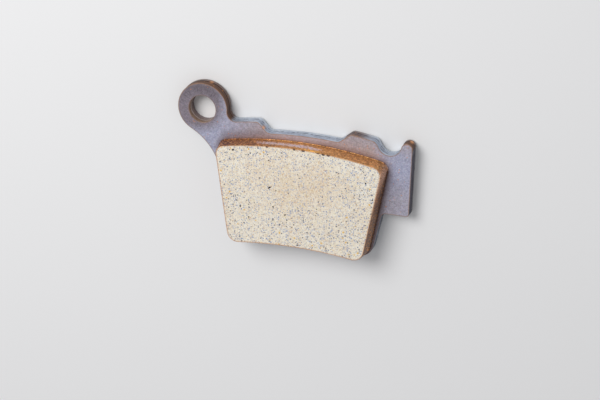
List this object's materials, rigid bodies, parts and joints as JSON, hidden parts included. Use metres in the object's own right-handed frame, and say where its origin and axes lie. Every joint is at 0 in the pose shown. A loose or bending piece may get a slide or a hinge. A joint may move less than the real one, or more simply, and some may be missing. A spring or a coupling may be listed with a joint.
{
  "type": "disc brake pad",
  "caption": "Disc brake pad with a blanked steel backing plate, a pin eye, a notched hook tab and a sintered friction block with an arched top and hollow foot.",
  "frame": {"origin": "axis of the retaining pin's bore, in the plane of the plate's back face", "axes": "+X along the pad from the eye to the hook, +Y across the pad towards its arched top edge, +Z out of the friction face"},
  "size_m": [0.086, 0.0565, 0.0116],
  "materials": {
    "plate_steel": "blanked steel, blasted and tinged with copper",
    "sintered_metal": "sintered copper alloy, ground on the friction face"
  },
  "bodies": {
    "root": {"backing_plate": "plate_steel", "friction_block": "sintered_metal"}
  },
  "joints": []
}
